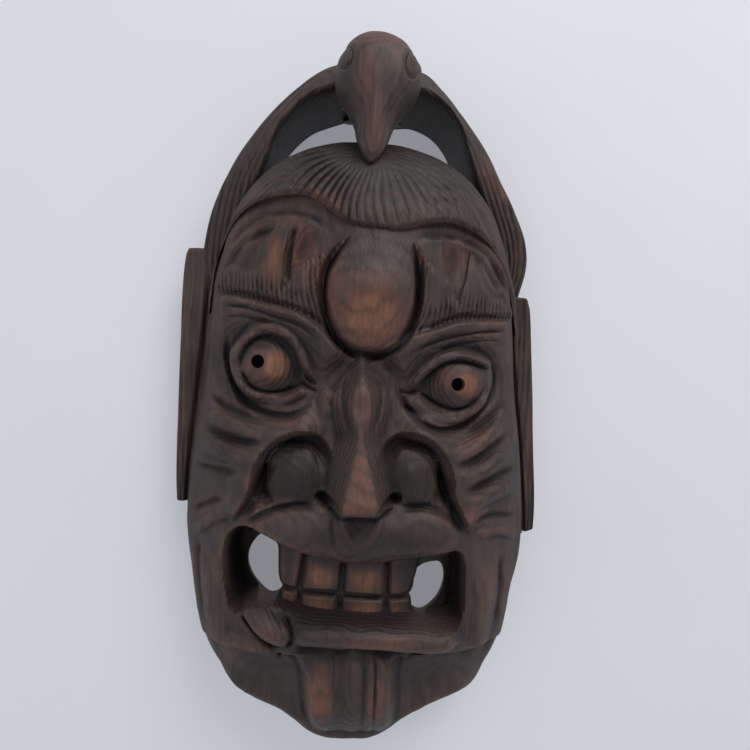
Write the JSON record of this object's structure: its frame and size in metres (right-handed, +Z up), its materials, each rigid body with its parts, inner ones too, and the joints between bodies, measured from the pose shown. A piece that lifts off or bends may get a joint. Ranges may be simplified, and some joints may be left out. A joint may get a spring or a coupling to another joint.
{
  "type": "carved wall mask",
  "caption": "Large dark-stained carved wooden wall mask: grimacing face with flame brows, drilled eyes, block teeth and a bird crest, hung by a ring on its hollow back.",
  "frame": {"origin": "on the wall plane, straight behind the pivot of the hanging ring, where the nail is", "axes": "+Z up, -Y out of the wall towards the viewer, +X to the viewer's right"},
  "size_m": [0.28, 0.13, 0.4944],
  "materials": {
    "stained_wood": "dark brown-black stain rubbed through to reddish brown on the high places, satin",
    "dowel_wood": "plain, unstained",
    "plated_steel": "dull zinc plate"
  },
  "bodies": {
    "mask": {"face_shell": "stained_wood", "crown_block": "stained_wood", "left_wing": "stained_wood", "right_wing": "stained_wood", "bird_head": "stained_wood", "left_ear": "stained_wood", "right_ear": "stained_wood", "upper_teeth": "stained_wood", "lower_teeth": "stained_wood", "crown_dowels": "dowel_wood", "wing_dowels": "dowel_wood", "ear_dowels": "dowel_wood", "hanger_plate": "plated_steel", "hanger_screws": "plated_steel"},
    "ring": {"hanger_ring": "plated_steel"}
  },
  "joints": [
    {"name": "ring_swing", "type": "hinge", "parent": "mask", "child": "ring", "pos_m": [0, -0.0039, 0], "axis": [1, 0, 0], "range_deg": [0, 180]}
  ]
}
